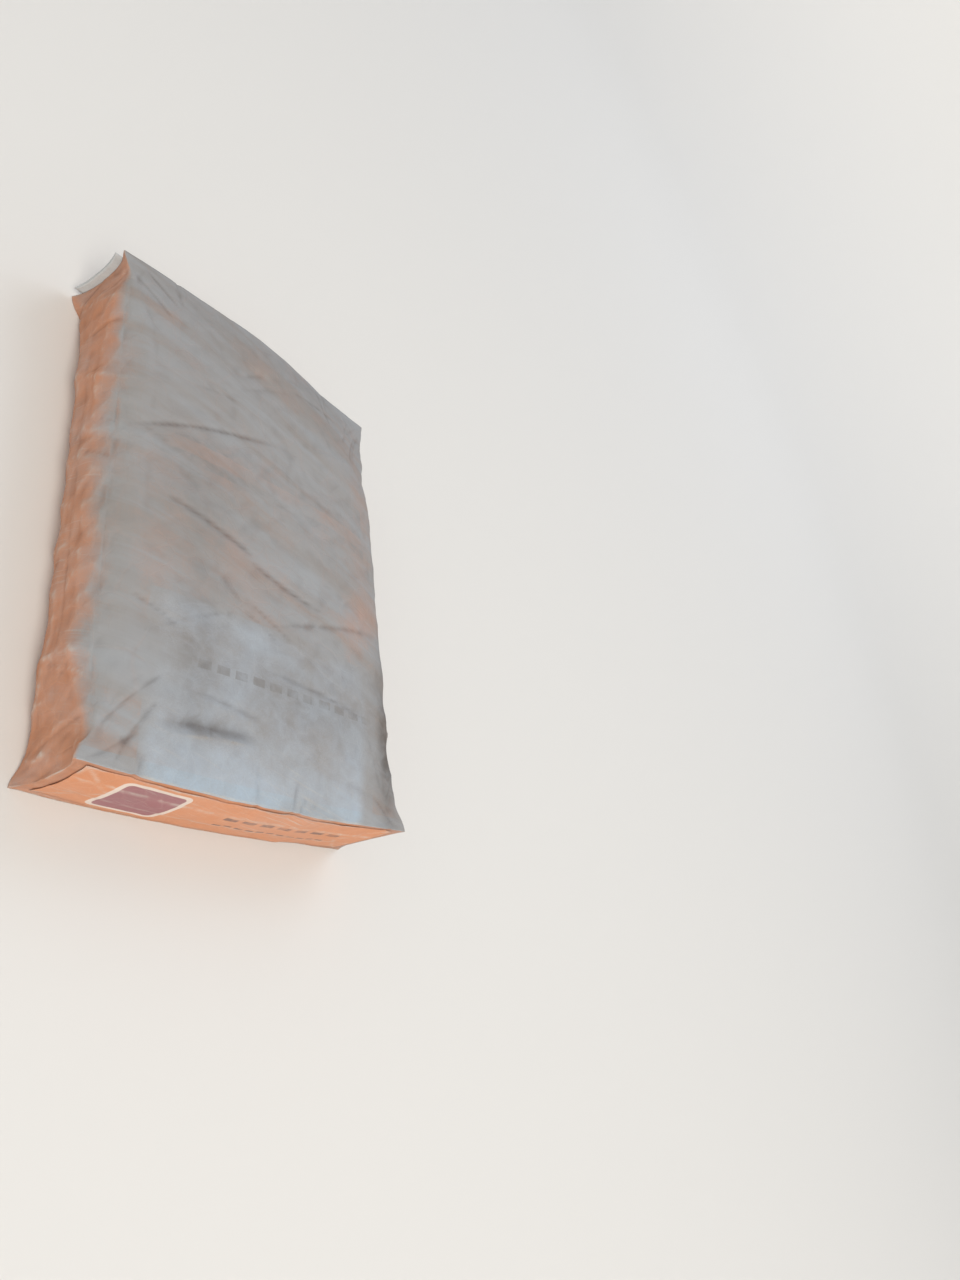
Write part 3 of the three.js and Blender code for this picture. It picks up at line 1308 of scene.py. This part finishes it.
@dataclass
class ValveSleeve:
    """The flattened paper tube in the corner of the valve end, through which the sack was filled."""

    sack: FilledSack
    node: str = "valve_sleeve"
    wall: float = 0.3 * MM
    glue_gap: float = 0.3 * MM
    pressed: float = 1.6 * MM
    mouth: float = 4.5 * MM
    ramp: float = 5 * MM
    lip_steps: int = 5
    corner_inset: float = 3 * MM
    opening: float = -186 * MM
    slack: float = 0.25 * MM

    def bump(self, x: Array, height: Array) -> Array:
        """Work out how far the sleeve lifts the patch over it.

        Args:
            x: Places across the end.
            height: Heights on it.

        Returns:
            Distances in metres, eased off around the sleeve.
        """
        low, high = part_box(self.node)
        beside = 1 - ease(x, high.x, high.x + self.ramp)
        over = ease(height, low.z - self.ramp, low.z) * (1 - ease(height, high.z, high.z + self.ramp))
        return (self.pressed + self.slack) * beside * over

    def build(self) -> bpy.types.Object:
        """Make the tube: pressed flat under the patch, a little open at its lip.

        Its section is a lens, whose half thickness is that of the place times the square root of
        1 less the squared share of the half height.

        Returns:
            The sleeve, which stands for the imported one.
        """
        low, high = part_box(self.node)
        corner = self.corner_inset - self.sack.form.half_width
        grids = self.sack.end_surface(Face.VALVE, (corner, high.x), (low.z, high.z))
        points, normals, flat = (grid[:, ::-1].swapaxes(0, 1) for grid in grids)
        step = np.zeros((self.lip_steps, 1, 3))
        step[:, 0, 0] = np.linspace(0, low.x - corner, self.lip_steps + 1)[1:]
        straight = np.broadcast_to(normals[-1:], (self.lip_steps, *normals.shape[1:]))
        points = np.concatenate([points, points[-1:] + step])
        normals = np.concatenate([normals, straight])
        flat = np.concatenate([flat, flat[-1:] + step[..., [0, 2]]])

        share = (flat[..., 1] - (low.z + high.z) / 2) / ((high.z - low.z) / 2)
        lens = np.sqrt(np.clip(1 - share**2, 0, 1))
        opened = ease(flat[..., 0], self.opening, low.x)
        half = (self.pressed + (self.mouth - self.pressed) * opened) / 2
        middle = self.glue_gap + half

        def loop(thin: float) -> Array:
            """Lay points around the tube.

            Args:
                thin: How far they are drawn in from its outer skin.

            Returns:
                Their grid, whose last column is followed by its first.
            """
            front = points + normals * (middle + (half - thin) * lens)[..., None]
            rear = points + normals * (middle - (half - thin) * lens)[..., None]
            for side in (front, rear):
                side[..., 2] -= thin * np.sign(share) * (np.abs(share) > 0.999)
            return np.concatenate([front, rear[:, -2:0:-1]], 1)

        around = np.concatenate([flat, flat[:, -2:0:-1]], 1)
        self.piece = add_thin_sheet("valve_sleeve_paper", loop(self.wall), loop(0.0), around, tube=True)
        set_attribute(self.piece, "dust", np.full(len(self.piece.data.vertices), 0.2))
        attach(self.piece, "root")
        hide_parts(self.node)
        return self.piece

    def dress(self) -> None:
        """Give the sleeve bare bleached kraft, pale beside the printed patch."""
        # Bleached kraft has no ink, so it is pale, matt and plain.
        paper = DustedPaper(name="Bare bleached kraft", ground="#CDD2D4", dust_floor=0.15)
        self.piece.data.materials.append(paper.material())


# The studio


def aimed(place: Vector, target: Vector, roll: float = 0.0) -> Matrix:
    """Return the placement of a light or camera that looks from its place at a target."""
    facing = (target - place).to_track_quat("-Z", "Y").to_matrix().to_4x4()
    return Matrix.Translation(place) @ facing @ Matrix.Rotation(math.radians(roll), 4, "Z")


@dataclass(frozen=True)
class SoftLight:
    """A square area light that faces the sack, with its power in watts."""

    name: str
    place: tuple[float, float, float]
    size: float
    power: float
    colour: str

    def build(self, target: Vector) -> None:
        """Hang the light and turn it.

        Args:
            target: Where it looks.
        """
        light = bpy.data.lights.new(self.name, "AREA")
        light.size = self.size
        light.energy = self.power
        light.color = linear(self.colour)[:3]
        lamp = bpy.data.objects.new(self.name, light)
        lamp.matrix_world = aimed(Vector(self.place), target)
        bpy.context.scene.collection.objects.link(lamp)


@dataclass(frozen=True)
class Studio:
    """A pale floor that curves up into a lit wall, soft lights, and the photograph's camera.

    The photograph is tilted on its side, so the camera is rolled as its holder turned it.
    """

    camera: tuple[float, float, float] = (-0.620, -0.585, 0.799)
    aim: tuple[float, float, float] = (0.508, 0.070, 0.050)
    roll: float = 67.7
    lens: float = 25.87
    floor_radius: float = 4.5
    bend_radius: float = 2.5
    wall_top: float = 5.0
    floor_colour: str = "#D8D6D2"
    wall_wash: float = 0.42
    wash_top: float = 2.2
    ambient: str = "#E3EAF2"
    ambient_strength: float = 0.50
    lit_point: tuple[float, float, float] = (0.0, 0.0, 0.06)
    lights: tuple[SoftLight, ...] = (
        SoftLight("soft_key", (-1.9, -3.9, 4.9), 3.0, 300, "#FFF8EF"),
        SoftLight("soft_fill", (3.6, 3.0, 4.4), 3.6, 114, "#EAF1FF"),
    )

    def build(self) -> None:
        """Make the floor, the lights, the ambient light and the camera."""
        self.build_floor()
        for light in self.lights:
            light.build(Vector(self.lit_point))
        world = bpy.data.worlds.new("soft_room")
        world.use_nodes = True
        background = world.node_tree.nodes["Background"]
        background.inputs["Color"].default_value = linear(self.ambient)
        background.inputs["Strength"].default_value = self.ambient_strength
        scene = bpy.context.scene
        scene.world = world
        scene.view_settings.view_transform = "Standard"
        camera = bpy.data.cameras.new("camera")
        camera.lens = self.lens
        view = bpy.data.objects.new("camera", camera)
        view.matrix_world = aimed(Vector(self.camera), Vector(self.aim), self.roll)
        scene.collection.objects.link(view)
        scene.camera = view

    def build_floor(self) -> None:
        """Make the floor: flat, then a quarter circle, then a wall, turned round the middle."""
        bend = np.linspace(0, np.pi / 2, 13)
        out = self.floor_radius + self.bend_radius * np.sin(bend)
        radius = np.concatenate([[0.001, 0.5], out, out[-1:]])
        height = np.concatenate([[0.0, 0.0], self.bend_radius * (1 - np.cos(bend)), [self.wall_top]])
        turn = np.linspace(0, 2 * np.pi, 97)[:-1]
        points = np.stack([
            np.outer(radius, np.cos(turn)),
            np.outer(radius, np.sin(turn)),
            np.broadcast_to(height[:, None], (len(height), len(turn))),
        ], -1)
        ids = np.arange(points[..., 0].size).reshape(points.shape[:2])
        floor = add_mesh("studio_floor", points.reshape(-1, 3), grid_quads(np.append(ids, ids[:, :1], 1)))
        # Matt board has no gloss, and it glows a little higher up, so that the wall stays bright.
        material = bpy.data.materials.new("Matt studio board")
        material.use_nodes = True
        shader = material.node_tree.nodes["Principled BSDF"]
        shader.inputs["Base Color"].default_value = linear(self.floor_colour)
        shader.inputs["Roughness"].default_value = 0.9
        add = partial(add_node, material.node_tree)
        height = add("SeparateXYZ", [add("TexCoord", output="Object")], "Z")
        wash = add("MapRange", [height, 0.0, self.wash_top, 0.0, self.wall_wash])
        material.node_tree.links.new(wash, shader.inputs["Emission Strength"])
        shader.inputs["Emission Color"].default_value = linear(self.floor_colour)
        material.cycles.emission_sampling = "NONE"
        floor.data.materials.append(material)


def main() -> None:
    """Build and dress the pieces, then the studio, and log each step."""
    logging.basicConfig(level=logging.INFO, format="%(name)s: %(message)s")
    sack = FilledSack(SackForm(CAD_BOX[1] - CAD_BOX[0]))
    sleeve = ValveSleeve(sack)
    patches = [
        EndPatch(sack, Face.NEAR, "near_end_patch"),
        EndPatch(sack, Face.VALVE, "valve_end_patch", sleeve=sleeve),
    ]
    for part in (sack, sleeve, *patches):
        piece = part.build()
        part.dress()
        log.info("%s: %d faces", piece.name, len(piece.data.polygons))
    Studio().build()


if __name__ == "__main__":
    main()
